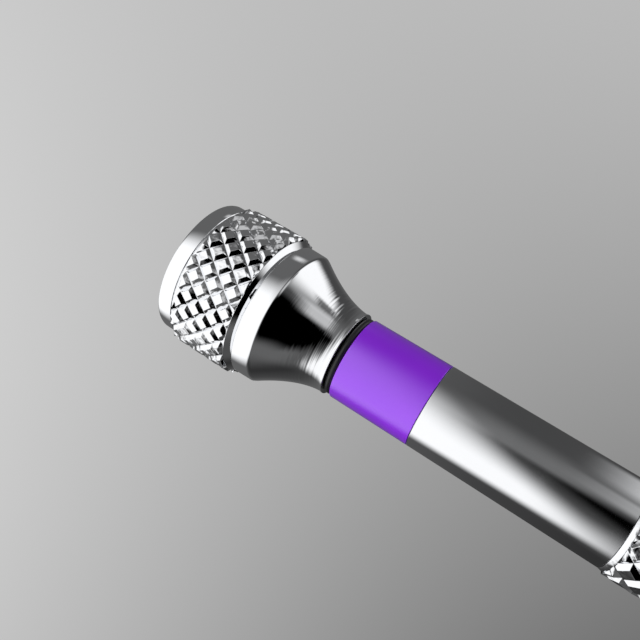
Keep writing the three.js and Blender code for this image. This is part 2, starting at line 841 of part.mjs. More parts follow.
// One door: half of the arched cap, with an ear at each end. The ear turns on the
// hinge pin, and the lift pin runs in its curved slot.
function doorGeometry() {
  const edgeAngle = Math.asin(doorHalfWidth / crownRadius);
  const innerRadius = crownRadius - doorThickness;
  const innerEdge = Math.asin(doorGap / 2 / crownRadius);
  const outside = [];
  const inside = [];
  const middle = [];
  for (let step = 0; step <= doorArcSteps; step += 1) {
    const angle = innerEdge + ((edgeAngle - innerEdge) * step) / doorArcSteps;
    const [sin, cos] = [Math.sin(angle), Math.cos(angle)];
    const middleRadius = crownRadius - doorThickness / 2;
    outside.push([crownRadius * sin, crownCentre + crownRadius * cos]);
    inside.push([Math.max(innerRadius * sin, doorGap / 2), crownCentre + innerRadius * cos]);
    middle.push([middleRadius * sin, crownCentre + middleRadius * cos]);
  }
  const shell = alongX(shape([...inside, ...outside.reverse()]), -doorEnd, doorEnd);

  const slotHalfWidth = hingePinRadius + runningClearance;
  const slotPath = [];
  for (let step = 0; step <= slotSteps; step += 1) {
    const [across, up] = pinInDoor((doorOpening * step) / slotSteps);
    slotPath.push([hingeOffset + across, hingeLevel + up]);
  }
  const slotEnd = slotPath[slotSteps];
  const around = slotHalfWidth + earMargin;
  const earBoss = hingeBossRadius - earTrim;
  const top = middle.filter(
    ([across]) => across > slotEnd[0] - around && across < hingeOffset + earBoss,
  );
  const ear = shape([
    ...arc(slotEnd[0], slotEnd[1], around, 180, 270, earCornerSteps),
    ...arc(hingeOffset, hingeLevel, earBoss, 270, 350, earCornerSteps),
    ...top.reverse(),
  ]);
  const cuts = [];
  for (const [start, end] of [
    [earInner - seam, doorEnd + cutReach],
    [-doorEnd - cutReach, -earInner + seam],
  ]) {
    cuts.push(alongX(slotOutline(slotPath, slotHalfWidth), start, end));
    cuts.push(rodX(hingePinRadius + runningClearance, start, end, hingeOffset, hingeLevel));
  }
  return joined([
    shell,
    alongX(ear, earInner, doorEnd),
    alongX(ear, -doorEnd, -earInner),
  ], cuts);
}

function doors() {
  piece('door_front', doorGeometry(), chrome);
  piece('door_back', doorGeometry(), chrome).rotation.z = Math.PI;
}

// ---------------------------------------------------------------- assembly

knobEndCap();
twistKnob();
knobScrew();
driveScrew();
spindleBearing();
lifter();
sealAndBand();
handleTube();
gripSleeve();
headCollar();
basePlate();
bladeBar();
bladeStuds();
endBrackets();
bracketRivets();
hingePins();
liftYoke();
doors();

export default group;
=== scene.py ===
import math

import bpy
from mathutils import Matrix, Vector


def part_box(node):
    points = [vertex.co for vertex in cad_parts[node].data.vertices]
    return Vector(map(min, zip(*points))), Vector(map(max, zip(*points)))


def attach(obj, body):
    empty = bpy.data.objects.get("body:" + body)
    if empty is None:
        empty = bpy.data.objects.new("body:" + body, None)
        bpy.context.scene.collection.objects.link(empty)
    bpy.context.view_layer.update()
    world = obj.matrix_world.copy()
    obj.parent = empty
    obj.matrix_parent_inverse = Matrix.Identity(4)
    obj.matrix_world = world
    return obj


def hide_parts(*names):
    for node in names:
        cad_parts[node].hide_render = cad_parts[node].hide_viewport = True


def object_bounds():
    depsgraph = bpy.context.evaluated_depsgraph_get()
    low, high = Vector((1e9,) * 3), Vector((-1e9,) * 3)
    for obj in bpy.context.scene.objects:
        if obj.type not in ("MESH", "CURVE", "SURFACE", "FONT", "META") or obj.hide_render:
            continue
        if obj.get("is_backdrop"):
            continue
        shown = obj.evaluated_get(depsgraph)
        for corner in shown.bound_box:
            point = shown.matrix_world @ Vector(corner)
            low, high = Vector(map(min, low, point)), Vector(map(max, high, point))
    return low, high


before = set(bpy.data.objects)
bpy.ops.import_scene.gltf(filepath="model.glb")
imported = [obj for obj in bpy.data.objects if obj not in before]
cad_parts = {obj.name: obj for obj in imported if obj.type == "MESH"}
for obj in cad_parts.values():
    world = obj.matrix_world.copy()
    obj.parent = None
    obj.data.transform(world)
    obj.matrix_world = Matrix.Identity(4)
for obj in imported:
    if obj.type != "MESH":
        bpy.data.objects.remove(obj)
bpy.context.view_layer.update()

# ---------------------------------------------------------------- camera and studio
# The razor stands on its knob in its own frame. The camera looks slightly down at the
# lower half of the handle from the side, rolled so that the handle runs down to the right.
MM = 0.001
EYE = Vector((0.0, -70.25, 35.02)) * MM
SIGHT = Vector((-0.0218, 0.9591, -0.2824)).normalized()
RIGHT = Vector((-0.5245, 0.2295, 0.8199))

eye_up = RIGHT.cross(SIGHT).normalized()
eye_right = SIGHT.cross(eye_up).normalized()
camera_data = bpy.data.cameras.new("camera")
camera_data.lens = 39.5
camera_data.sensor_width = 36.0
camera_data.clip_start = 0.002
camera_data.clip_end = 20.0
camera = bpy.data.objects.new("camera", camera_data)
bpy.context.scene.collection.objects.link(camera)
turn_to_eye = Matrix((eye_right, eye_up, -SIGHT)).transposed().to_4x4()
camera.matrix_world = Matrix.Translation(EYE) @ turn_to_eye
bpy.context.scene.camera = camera
bpy.context.scene.view_settings.view_transform = "Standard"


class Wire:
    """A node socket that does sums: an expression on wires adds its Math nodes."""

    def __init__(self, tree, socket):
        self.tree = tree
        self.socket = socket

    def _sum(self, operation, first, second=None):
        values = [first] if second is None else [first, second]
        return node(self.tree, "ShaderNodeMath", {"operation": operation}, *values)

    def __add__(self, other):
        return self._sum("ADD", self, other)

    def __radd__(self, other):
        return self._sum("ADD", other, self)

    def __sub__(self, other):
        return self._sum("SUBTRACT", self, other)

    def __rsub__(self, other):
        return self._sum("SUBTRACT", other, self)

    def __mul__(self, other):
        return self._sum("MULTIPLY", self, other)

    def __rmul__(self, other):
        return self._sum("MULTIPLY", other, self)

    def __truediv__(self, other):
        return self._sum("DIVIDE", self, other)

    def at(self, name):
        return Wire(self.tree, self.socket.node.outputs[name])

    def ramp(self, start, end):
        """0 before start, 1 after end, and a smooth slope between them."""
        return node(
            self.tree, "ShaderNodeMapRange", {"interpolation_type": "SMOOTHSTEP"},
            Value=self, **{"From Min": start, "From Max": end},
        )


def node(tree, kind, settings=None, *by_place, **by_name):
    """Adds one node: its settings first, then values or wires on its sockets."""
    made = tree.nodes.new(kind)
    for name, value in (settings or {}).items():
        setattr(made, name, value)
    for key, value in [*enumerate(by_place), *by_name.items()]:
        socket = made.inputs[key]
        if isinstance(value, Wire):
            tree.links.new(value.socket, socket)
        else:
            socket.default_value = value
    shown = [output for output in made.outputs if output.enabled]
    return Wire(tree, shown[0]) if shown else None


# The studio: a broad white softbox low on the right, a second one high on the left with a
# dimmer edge, a small light low on the left and a black flag over the front, in a grey
# room. Angles are in degrees round and above the knob.
world = bpy.data.worlds.new("studio")
bpy.context.scene.world = world
world.use_nodes = True
room = world.node_tree
room.nodes.clear()
toward = node(room, "ShaderNodeTexCoord").at("Generated")
axes = node(room, "ShaderNodeSeparateXYZ", None, toward)
DEGREE = 180 / math.pi
round_angle = DEGREE * node(
    room, "ShaderNodeMath", {"operation": "ARCTAN2"}, axes.at("X"), 0 - axes.at("Y"))
rise_angle = DEGREE * node(room, "ShaderNodeMath", {"operation": "ARCSINE"}, axes.at("Z"))
corner = 3.8 * rise_angle + 14 - 26 * (1 - rise_angle.ramp(-22, 2))
corner = node(room, "ShaderNodeMath", {"operation": "MAXIMUM"}, corner, -30.0)
corner = node(room, "ShaderNodeMath", {"operation": "MINIMUM"}, corner, 47.0)
softness = 20 + 34 * rise_angle.ramp(-18, -4) - 26 * rise_angle.ramp(-5, 4)
low_box = (
    ((round_angle - corner) / softness).ramp(-1, 1)
    * (1 - (round_angle + rise_angle).ramp(80, 106))
    * (1 - rise_angle.ramp(4, 18))
)
gap = (
    round_angle.ramp(-80, -70)
    * (1 - round_angle.ramp(-63, -54))
    * rise_angle.ramp(11, 16)
    * (1 - rise_angle.ramp(22, 29))
)
high_box = (
    round_angle.ramp(-150, -120)
    * (1 - round_angle.ramp(-84, -44))
    * rise_angle.ramp(6, 17)
    * (1 - 0.85 * gap)
)
high_fade = (
    round_angle.ramp(-60, -48)
    * (1 - round_angle.ramp(-36, -19))
    * rise_angle.ramp(5, 16)
    * (1 - rise_angle.ramp(28, 42))
)
streak = (
    round_angle.ramp(-80, -28)
    * (1 - round_angle.ramp(-22, -6))
    * rise_angle.ramp(-9, 0)
    * (1 - rise_angle.ramp(5, 13))
)
kicker = (
    round_angle.ramp(-110, -101)
    * (1 - round_angle.ramp(-99, -90))
    * rise_angle.ramp(-27, -21)
    * (1 - rise_angle.ramp(-19, -12))
)
flag_side = node(
    room, "ShaderNodeMath", {"operation": "MINIMUM"}, rise_angle * 2.6 - 14,
    62 + 9 * rise_angle.ramp(34, 44))
flag = (
    (round_angle + 10 + 0.6 * rise_angle).ramp(-9, 9)
    * (1 - (round_angle - flag_side).ramp(-16, 16))
    * rise_angle.ramp(-2, 9)
)
far_side = 1 - 0.7 * round_angle.ramp(85, 110) * rise_angle.ramp(-5, 20)
grey = (0.16 - 0.08 * rise_angle.ramp(-15, 2)) * far_side
grey = grey + 0.08 * round_angle.ramp(30, 70) * rise_angle.ramp(10, 25)
light = (
    grey * (1 - flag) + 0.12 * streak * (1 - flag)
    + 1.3 * low_box * (1 - 0.55 * flag) + 1.3 * high_box + 0.62 * high_fade + 0.7 * kicker
)
ray = node(room, "ShaderNodeLightPath").at("Is Diffuse Ray")
# Matt surfaces take a little more light than the chrome shows.
glow = node(room, "ShaderNodeBackground", None, Strength=light * (1 + 0.6 * ray))
node(room, "ShaderNodeOutputWorld", None, Surface=glow)

# A pale seamless cove stands round everything and is seen by the camera only. It glows with
# painted light, a painted fall-off that gets gently darker towards the head end.
for every in bpy.context.selected_objects:
    every.select_set(False)
bpy.ops.mesh.primitive_uv_sphere_add(segments=64, ring_count=32, radius=1.5, location=EYE)
cove = bpy.context.object
cove.name = "pale_cove"
bpy.ops.object.mode_set(mode="EDIT")
bpy.ops.mesh.flip_normals()
bpy.ops.object.mode_set(mode="OBJECT")
bpy.ops.object.shade_smooth()
cove_finish = bpy.data.materials.new("pale_cove")
cove_finish.use_nodes = True
tree = cove_finish.node_tree
tree.nodes.clear()
place = node(tree, "ShaderNodeTexCoord").at("Object")
unit = node(tree, "ShaderNodeVectorMath", {"operation": "NORMALIZE"}, place)
side = node(tree, "ShaderNodeSeparateXYZ", None, unit)
across, rise = side.at("X"), side.at("Z")
# Painted light: the cove's emitted tone is a painted fall-off of light, darker towards the head
# end.
painted_falloff = 0.322 - 0.178 * across - 0.412 * rise + across * (0.207 * across - 0.592 * rise)
painted_falloff = node(tree, "ShaderNodeMath", {"operation": "MAXIMUM"}, painted_falloff, 0.15)
painted_falloff = node(tree, "ShaderNodeMath", {"operation": "MINIMUM"}, painted_falloff, 0.66)
shine = node(tree, "ShaderNodeEmission", None, Color=painted_falloff)
node(tree, "ShaderNodeOutputMaterial", None, Surface=shine)
cove.data.materials.append(cove_finish)
cove.visible_glossy = False
cove.visible_diffuse = False
cove.visible_shadow = False
cove.visible_transmission = False
cove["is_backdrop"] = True

# ---------------------------------------------------------------- knob end cap
# A turned brass disc under mirror chrome. It closes the knob's hollow end, pressed in by
# a short spigot, and shows as a smooth rim below the knurl.
CAP_LOW, CAP_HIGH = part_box("knob_end_cap")
CAP_RADIUS = CAP_HIGH.x
KNOB_LOW, KNOB_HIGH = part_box("twist_knob")
CAP_SPIGOT_RADIUS = 5.5 * MM
CAP_DISH_DEPTH = 0.12 * MM


def fresh():
    """Nothing selected, so that an operator acts on the new piece alone."""
    if bpy.context.object and bpy.context.object.mode != "OBJECT":
        bpy.ops.object.mode_set(mode="OBJECT")
    bpy.ops.object.select_all(action="DESELECT")


def turned(name, profile, steps=160, edge=0.06, edge_steps=3):
    """A piece spun from its profile, [radius, height] in metres, with its corners eased."""
    fresh()
    bpy.ops.mesh.primitive_plane_add(size=MM)
    piece = bpy.context.object
    piece.name = name
    bpy.ops.object.mode_set(mode="EDIT")
    bpy.ops.mesh.select_mode(type="VERT")
    bpy.ops.mesh.select_all(action="SELECT")
    bpy.ops.mesh.merge(type="CENTER")
    radius, height = profile[0]
    bpy.ops.transform.translate(value=(radius, 0, height))
    for next_radius, next_height in profile[1:]:
        bpy.ops.mesh.extrude_region_move(TRANSFORM_OT_translate={
            "value": (next_radius - radius, 0, next_height - height)})
        radius, height = next_radius, next_height
    bpy.ops.mesh.select_all(action="SELECT")
    bpy.ops.mesh.spin(steps=steps, angle=2 * math.pi, center=(0, 0, 0), axis=(0, 0, 1))
    bpy.ops.mesh.select_all(action="SELECT")
    bpy.ops.mesh.remove_doubles(threshold=1e-7)
    bpy.ops.mesh.dissolve_degenerate(threshold=1e-8)
    bpy.ops.mesh.normals_make_consistent(inside=False)
    bpy.ops.object.mode_set(mode="OBJECT")
    if edge:
        ease_edges(piece, edge, edge_steps)
    smooth_faces(piece, 35)
    return piece


def smooth_faces(piece, angle):
    """Smooth shading that keeps broad faces true: the small eased faces take the bend."""
    bpy.context.view_layer.objects.active = piece
    bpy.ops.object.shade_smooth_by_angle(angle=math.radians(angle))
    weigh = piece.modifiers.new("weighted", "WEIGHTED_NORMAL")
    weigh.keep_sharp = True
    weigh.weight = 100
    bpy.ops.object.modifier_apply(modifier=weigh.name)


def ease_edges(piece, width, steps, angle=28):
    """Rounds the piece's sharp edges by a small width, in millimetres."""
    ease = piece.modifiers.new("eased_edges", "BEVEL")
    ease.width = width * MM
    ease.segments = steps
    ease.limit_method = "ANGLE"
    ease.angle_limit = math.radians(angle)
    ease.use_clamp_overlap = True
    bpy.context.view_layer.objects.active = piece
    bpy.ops.object.modifier_apply(modifier=ease.name)


def chrome(name, marks=0.0, marks_pitch=0.12, soft=0.0, rough_from=None, dents=0.0):
    """Mirror chrome over turned brass: faint turning marks, haze and fine scuffs. Coarse
    tool marks under the plating come in between the two heights rough_from. Dents are the
    small hollows that a knurling wheel leaves in its tops."""
    tint = (0.9, 0.91, 0.93)
    finish = bpy.data.materials.new(name)
    finish.use_nodes = True
    tree = finish.node_tree
    tree.nodes.clear()
    place = node(tree, "ShaderNodeTexCoord").at("Object")
    haze = node(tree, "ShaderNodeTexNoise", None, place, Scale=260.0, Detail=4.0)
    scuff_place = node(
        tree, "ShaderNodeMapping", None, place, Scale=(3000.0, 3000.0, 260.0))
    scuff = node(tree, "ShaderNodeTexNoise", None, scuff_place, Scale=1.0, Detail=2.0)
    shade = node(
        tree, "ShaderNodeMix", {"data_type": "RGBA"},
        **{"Factor": haze, "A": (*[0.94 * c for c in tint], 1), "B": (*tint, 1)})
    roughness = 0.035 + soft + 0.05 * haze.ramp(0.45, 0.8) + 0.05 * scuff.ramp(0.66, 0.8)
    spin_marks = node(
        tree, "ShaderNodeMapping", None, place, Scale=(60.0, 60.0, 1000 / marks_pitch))
    ripple = node(tree, "ShaderNodeTexNoise", None, spin_marks, Scale=1.0, Detail=3.0)
    relief = scuff * 0.06 + ripple * marks
    if dents:
        hollow = node(tree, "ShaderNodeTexNoise", None, place, Scale=1500.0, Detail=1.5)
        relief = relief + hollow * dents
    if rough_from:
        height = node(tree, "ShaderNodeSeparateXYZ", None, place).at("Z")
        ring_place = node(
            tree, "ShaderNodeMapping", None, place, Scale=(110.0, 110.0, 2900.0))
        rings = node(tree, "ShaderNodeTexNoise", None, ring_place, Scale=1.0, Detail=1.0)
        patch = node(tree, "ShaderNodeTexNoise", None, place, Scale=240.0, Detail=1.0)
        low, high = rough_from
        relief = relief + rings * 5.0 * height.ramp(low, high) * patch.ramp(0.35, 0.62)
    bump = node(
        tree, "ShaderNodeBump", None, Strength=0.35, Distance=0.00002, Height=relief)
    surface = node(
        tree, "ShaderNodeBsdfPrincipled", None,
        **{"Base Color": shade, "Metallic": 1.0, "Roughness": roughness, "Normal": bump})
    node(tree, "ShaderNodeOutputMaterial", None, Surface=surface)
    return finish


def dress(piece, finish, body, slot_name, *nodes):
    """Gives a piece its finish and its body, and lets it stand for its CAD nodes."""
    piece.data.materials.clear()
    piece.data.materials.append(finish)
    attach(piece, body)
    if nodes:
        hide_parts(*nodes)


cap_top = KNOB_LOW.z - 0.03 * MM
end_cap = turned("end_cap", [
    (0, CAP_DISH_DEPTH),
    (CAP_RADIUS * 0.78, CAP_DISH_DEPTH),
    (CAP_RADIUS * 0.80, 0),
    (CAP_RADIUS - 0.25 * MM, 0),
    (CAP_RADIUS - 0.07 * MM, 0.07 * MM),
    (CAP_RADIUS, 0.25 * MM),
    (CAP_RADIUS, cap_top - 0.1 * MM),
    (CAP_RADIUS - 0.1 * MM, cap_top),
    (CAP_SPIGOT_RADIUS, cap_top),
    (CAP_SPIGOT_RADIUS, CAP_HIGH.z),
    (0, CAP_HIGH.z),
], edge=0.03)
dress(end_cap, chrome("cap_chrome", marks=0.25), "knob", "chrome_plate", "knob_end_cap")

# ---------------------------------------------------------------- twist knob
# Turned brass, mirror chromed: a knurled drum, a dark cut groove, a smooth ring and a
# bell-shaped neck that narrows to the handle, with faint ripples left near its small end.
KNURL_BOTTOM = KNOB_LOW.z + 0.3 * MM
KNURL_TOP = KNURL_BOTTOM + 6.95 * MM
GROOVE_TOP = KNURL_TOP + 0.58 * MM
RING_TOP = GROOVE_TOP + 1.85 * MM
ROOT_RADIUS = CAP_RADIUS
CREST = KNOB_HIGH.x - ROOT_RADIUS
NECK_RADIUS = 4.6 * MM
NECK_LIP = NECK_RADIUS + 0.06 * MM
HOLLOW_RADIUS = 5.56 * MM
HOLLOW_TOP = 7.3 * MM
SPINDLE_HOLE = 2.65 * MM
GROOVE_RADIUS = ROOT_RADIUS - 0.5 * MM
# The grooves of the knurl bottom out this far above the smooth rim's radius, and the knurl
# stops this far short of the groove, at a plain land.
KNURL_FLOOR = 0.18 * MM
KNURL_END = KNURL_TOP - 0.3 * MM
LAND_RADIUS = ROOT_RADIUS + KNURL_FLOOR + 0.03 * MM
BELL_STEPS = 40
BELL_POWER = 1.65

bell = []
for step in range(1, BELL_STEPS + 1):
    along = step / BELL_STEPS
    swell = (1 - along) ** BELL_POWER
    radius = NECK_RADIUS + (ROOT_RADIUS - 0.12 * MM - NECK_RADIUS) * swell
    bell.append((radius, RING_TOP + 0.1 * MM + (KNOB_HIGH.z - RING_TOP - 0.28 * MM) * along))
knob_body = turned("knob_body", [
    (HOLLOW_RADIUS, KNOB_LOW.z),
    (ROOT_RADIUS - 0.02 * MM, KNOB_LOW.z),
    (ROOT_RADIUS - 0.02 * MM, KNURL_BOTTOM),
    (GROOVE_RADIUS, KNURL_BOTTOM),
    (GROOVE_RADIUS, KNURL_END - 0.12 * MM),
    (LAND_RADIUS, KNURL_END - 0.12 * MM),
    (LAND_RADIUS, KNURL_END + 0.03 * MM),
    (GROOVE_RADIUS, KNURL_TOP + 0.32 * MM),
    (GROOVE_RADIUS, GROOVE_TOP),
    (ROOT_RADIUS - 0.04 * MM, GROOVE_TOP),
    (ROOT_RADIUS - 0.09 * MM, RING_TOP),
    *bell,
    (NECK_LIP, KNOB_HIGH.z - 0.17 * MM),
    (NECK_LIP, KNOB_HIGH.z),
    (SPINDLE_HOLE, KNOB_HIGH.z),
    (SPINDLE_HOLE, HOLLOW_TOP),
    (HOLLOW_RADIUS, HOLLOW_TOP),
    (HOLLOW_RADIUS, KNOB_LOW.z),
], steps=192, edge=0.035)
knob_chrome = chrome(
    "knob_chrome", marks=0.35, rough_from=(RING_TOP + 2.2 * MM, RING_TOP + 4.8 * MM))
dress(knob_body, knob_chrome, "knob", "chrome_plate")


def knurl(name, root, crest, bottom, top, starts, leads, flat=0.56, dish=0.03 * MM,
          chamfer=0.5 * MM):
    """A ring of diamond knurl. Two families of V grooves wind round it in opposite
    senses: starts counts the grooves round the ring in each, and leads the grooves in a
    millimetre along it. Flat is the share of the pitch that each top keeps."""
    right_starts, left_starts = starts
    right_lead, left_lead = leads
    round_length = 2 * math.pi * root
    height = (top - bottom) / MM
    area = right_starts * left_lead + left_starts * right_lead
    right_count = right_starts + int(right_lead * height) + 4
    left_count = left_starts + int(left_lead * height) + 4
    fresh()
    bpy.ops.mesh.primitive_grid_add(
        x_subdivisions=right_count, y_subdivisions=left_count, size=1)
    piece = bpy.context.object
    piece.name = name
    # The grid's two directions become the two groove families on the flat sheet: along X
    # it runs once round the piece, and up Z it runs from the knurl's bottom to its top.
    along = round_length / area
    up = MM / area
    lay = Matrix((
        (left_lead * along * right_count, -right_lead * along * left_count, 0, 0),
        (0, 0, 1, 0),
        (left_starts * up * right_count, right_starts * up * left_count, 0, (bottom + top) / 2),
        (0, 0, 0, 1),
    ))
    piece.data.transform(lay)
    bpy.ops.object.mode_set(mode="EDIT")
    bpy.ops.mesh.select_all(action="SELECT")
    bpy.ops.mesh.normals_make_consistent(inside=False)
    bpy.ops.object.mode_set(mode="OBJECT")
    if piece.data.polygons[0].normal.y > 0:
        piece.data.flip_normals()
    # The mean distance between neighbouring grooves sets how wide a top is left.
    pitch = math.sqrt(round_length * MM / area)
    bpy.ops.object.mode_set(mode="EDIT")
    bpy.ops.mesh.select_mode(type="FACE")
    bpy.ops.mesh.select_all(action="SELECT")
    bpy.ops.mesh.inset(
        thickness=pitch * (0.5 - flat / 2), depth=crest, use_individual=True,
        use_even_offset=True)
    bpy.ops.mesh.inset(
        thickness=pitch * flat * 0.2, depth=-dish, use_individual=True, use_even_offset=True)
    # The tops run down to nothing over a short chamfer at either end.
    for level in (bottom + chamfer, top - chamfer):
        bpy.ops.mesh.select_all(action="SELECT")
        bpy.ops.mesh.bisect(plane_co=(0, 0, level), plane_no=(0, 0, 1))
    half = round_length / 2
    for where, facing in (
        ((-half, 0, 0), (-1, 0, 0)), ((half, 0, 0), (1, 0, 0)),
        ((0, 0, bottom), (0, 0, -1)), ((0, 0, top), (0, 0, 1)),
    ):
        bpy.ops.mesh.select_all(action="SELECT")
        bpy.ops.mesh.bisect(plane_co=where, plane_no=facing, clear_outer=True)
    bpy.ops.mesh.select_all(action="DESELECT")
    bpy.ops.object.mode_set(mode="OBJECT")
    # The cut rims at both ends are drawn inwards, so that the ring has a wall.
    for edge in piece.data.edges:
        ends = [piece.data.vertices[i].co for i in edge.vertices]
        edge.select = any(
            all(abs(end.z - limit) < 1e-7 for end in ends) for limit in (bottom, top))
    bpy.ops.object.mode_set(mode="EDIT")
    bpy.ops.mesh.select_mode(type="EDGE")
    bpy.ops.transform.resize(value=(1, 0.12, 1), center_override=(0, 0, 0))
    bpy.ops.mesh.extrude_edges_move(TRANSFORM_OT_translate={"value": (0, 0.35 * MM, 0)})
    bpy.ops.object.mode_set(mode="OBJECT")
    roll = piece.modifiers.new("roll", "SIMPLE_DEFORM")
    roll.deform_method = "BEND"
    roll.deform_axis = "Z"
    roll.angle = 2 * math.pi
    bpy.context.view_layer.objects.active = piece
    bpy.ops.object.modifier_apply(modifier=roll.name)
    piece.data.transform(Matrix.Translation((0, -root, 0)))
    bpy.ops.object.mode_set(mode="EDIT")
    bpy.ops.mesh.select_all(action="SELECT")
    bpy.ops.mesh.remove_doubles(threshold=2e-6)
    bpy.ops.mesh.select_mode(type="EDGE")
    bpy.ops.mesh.select_all(action="DESELECT")
    bpy.ops.mesh.select_non_manifold(extend=False, use_wire=False, use_multi_face=False,
                                     use_non_contiguous=False, use_verts=False)
    bpy.ops.mesh.bridge_edge_loops()
    bpy.ops.mesh.select_all(action="SELECT")
    bpy.ops.mesh.normals_make_consistent(inside=False)
    bpy.ops.object.mode_set(mode="OBJECT")
    return piece


# One pair of knurling wheels, with grooves a little over 1.5 mm apart, cuts this lattice.
knob_knurl = knurl(
    "knob_knurl", ROOT_RADIUS + KNURL_FLOOR, CREST - KNURL_FLOOR, KNURL_BOTTOM, KNURL_END,
    starts=(21, 26), leads=(0.489, 0.4))
ease_edges(knob_knurl, 0.04, 2, angle=12)
smooth_faces(knob_knurl, 30)
knurl_chrome = chrome("knurl_chrome", marks=0.15, dents=9.0)
dress(knob_knurl, knurl_chrome, "knob", "chrome_plate", "twist_knob")

# ---------------------------------------------------------------- seal ring
# A moulded black rubber ring in the gap between the turning knob and the handle. It keeps
# water out of the drive and rubs lightly on both lips.
SEAL_LOW, SEAL_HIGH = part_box("seal_ring")
SEAL_BORE = 2.7 * MM
SEAL_FLANK = 4.02 * MM
SEAL_BULGE = 0.36 * MM
SEAL_HALF_HEIGHT = 0.38 * MM
seal_middle = (SEAL_LOW.z + SEAL_HIGH.z) / 2
seal_round = []
for step in range(0, 13):
    angle = math.radians(-90 + 15 * step)
    seal_round.append((
        SEAL_FLANK + SEAL_BULGE * math.cos(angle),
        seal_middle + SEAL_HALF_HEIGHT * math.sin(angle)))
seal = turned("seal", [
    (SEAL_BORE, seal_round[0][1]),
    *seal_round,
    (SEAL_BORE, seal_round[-1][1]),
    (SEAL_BORE, seal_round[0][1]),
], edge=0)


def rubber(name):
    """Black rubber with a dull bloom and a fine moulded grain."""
    finish = bpy.data.materials.new(name)
    finish.use_nodes = True
    tree = finish.node_tree
    tree.nodes.clear()
    place = node(tree, "ShaderNodeTexCoord").at("Object")
    grain = node(tree, "ShaderNodeTexNoise", None, place, Scale=2600.0, Detail=3.0)
    bloom = node(tree, "ShaderNodeTexNoise", None, place, Scale=420.0, Detail=2.0)
    shade = node(
        tree, "ShaderNodeMix", {"data_type": "RGBA"},
        **{"Factor": bloom, "A": (0.006, 0.006, 0.007, 1), "B": (0.02, 0.02, 0.022, 1)})
    bump = node(
        tree, "ShaderNodeBump", None, Strength=0.4, Distance=0.00002, Height=grain)
    surface = node(
        tree, "ShaderNodeBsdfPrincipled", None,
        **{"Base Color": shade, "Roughness": 0.32 + 0.15 * bloom, "Normal": bump})
    node(tree, "ShaderNodeOutputMaterial", None, Surface=surface)
    return finish


dress(seal, rubber("seal_rubber"), "handle", "seal_rubber", "seal_ring")

# ---------------------------------------------------------------- colour band
# A thin metal ring in satin purple lacquer, pressed over the tube's turned-down end. It
# sits flush with the tube, with a hairline at the joint.
BAND_LOW, BAND_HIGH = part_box("colour_band")
BAND_RADIUS = BAND_HIGH.x
SLEEVE_BORE = 4.0 * MM


def lacquer(name):
    """Satin purple lacquer over metal: a clear top coat, faint orange peel and dust."""
    finish = bpy.data.materials.new(name)
    finish.use_nodes = True
    tree = finish.node_tree
    tree.nodes.clear()
    place = node(tree, "ShaderNodeTexCoord").at("Object")
    peel = node(tree, "ShaderNodeTexNoise", None, place, Scale=1100.0, Detail=2.0)
    cloud = node(tree, "ShaderNodeTexNoise", None, place, Scale=180.0, Detail=3.0)
    shade = node(
        tree, "ShaderNodeMix", {"data_type": "RGBA"},
        **{"Factor": cloud, "A": (0.29, 0.008, 0.93, 1), "B": (0.35, 0.012, 1.0, 1)})
    bump = node(
        tree, "ShaderNodeBump", None, Strength=0.25, Distance=0.00001, Height=peel)
    surface = node(
        tree, "ShaderNodeBsdfPrincipled", None,
        **{"Base Color": shade, "Metallic": 0.15, "Roughness": 0.3 + 0.08 * cloud,
           "Coat Weight": 0.9, "Coat Roughness": 0.16, "Coat IOR": 1.75, "Normal": bump})
    node(tree, "ShaderNodeOutputMaterial", None, Surface=surface)
    return finish


band = turned("band", [
    (SLEEVE_BORE, BAND_LOW.z),
    (BAND_RADIUS, BAND_LOW.z),
    (BAND_RADIUS, BAND_HIGH.z),
    (SLEEVE_BORE, BAND_HIGH.z),
    (SLEEVE_BORE, BAND_LOW.z),
], edge=0.05)
dress(band, lacquer("band_lacquer"), "handle", "band_lacquer", "colour_band")

# ---------------------------------------------------------------- handle tube
# Drawn brass tube, mirror chromed on the stretch that shows. Both ends are turned down,
# one for the colour band and one for the grip sleeve.
TUBE_LOW, TUBE_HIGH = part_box("handle_tube")
TUBE_RADIUS = TUBE_HIGH.x
GRIP_LOW, GRIP_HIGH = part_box("grip_sleeve")
TUBE_BORE = 3.3 * MM
TUBE_SPIGOT = 3.94 * MM
tube = turned("tube", [
    (TUBE_BORE, TUBE_LOW.z),
    (TUBE_SPIGOT, TUBE_LOW.z),
    (TUBE_SPIGOT, BAND_HIGH.z + 0.06 * MM),
    (TUBE_RADIUS, BAND_HIGH.z + 0.06 * MM),
    (TUBE_RADIUS, GRIP_LOW.z - 0.03 * MM),
    (TUBE_SPIGOT, GRIP_LOW.z - 0.03 * MM),
    (TUBE_SPIGOT, TUBE_HIGH.z),
    (TUBE_BORE, TUBE_HIGH.z),
    (TUBE_BORE, TUBE_LOW.z),
], edge=0.04)
dress(tube, chrome("tube_chrome", soft=0.035), "handle", "chrome_plate", "handle_tube")

